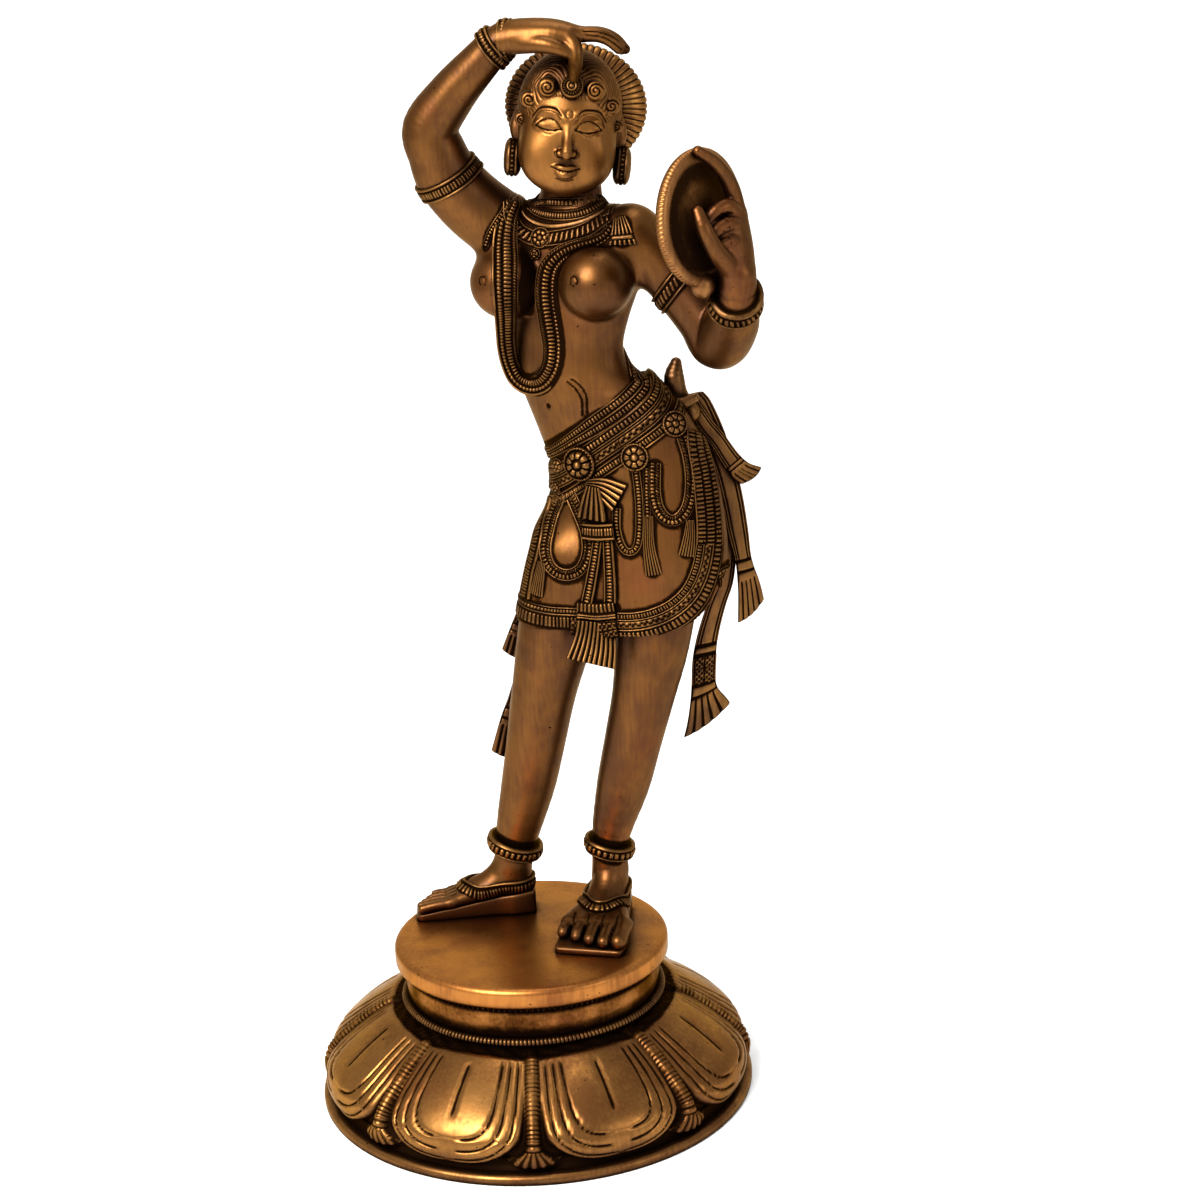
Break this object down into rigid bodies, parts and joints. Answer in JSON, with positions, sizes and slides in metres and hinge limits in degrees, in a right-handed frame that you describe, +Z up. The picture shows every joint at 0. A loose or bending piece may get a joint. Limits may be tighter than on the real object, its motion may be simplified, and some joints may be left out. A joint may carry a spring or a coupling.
{
  "type": "apsara figure",
  "caption": "Cast brass temple dancer in a swayed pose on a lotus plinth, one arm arched over her head to dress the parting, the other holding up a round hand mirror.",
  "frame": {"origin": "centre of the plinth's flat underside", "axes": "+Z up along the figure's height, the figure faces -Y, +X is to the viewer's right (her left)"},
  "size_m": [0.2029, 0.1908, 0.4584],
  "materials": {
    "plinth_brass": "cast brass, buffed on the petals, with near-black brown patina in the grooves and reddish tints on the top plate",
    "figure_brass": "cast brass, antiqued and hand buffed, warm golden brown skin with dark brown patina around the chased ornament",
    "mirror_brass": "cast brass, dark brown patina, coppery where it is brazed to the hand"
  },
  "bodies": {
    "root": {"lotus_plinth": "plinth_brass", "apsara_figure": "figure_brass", "hand_mirror": "mirror_brass"}
  },
  "joints": []
}
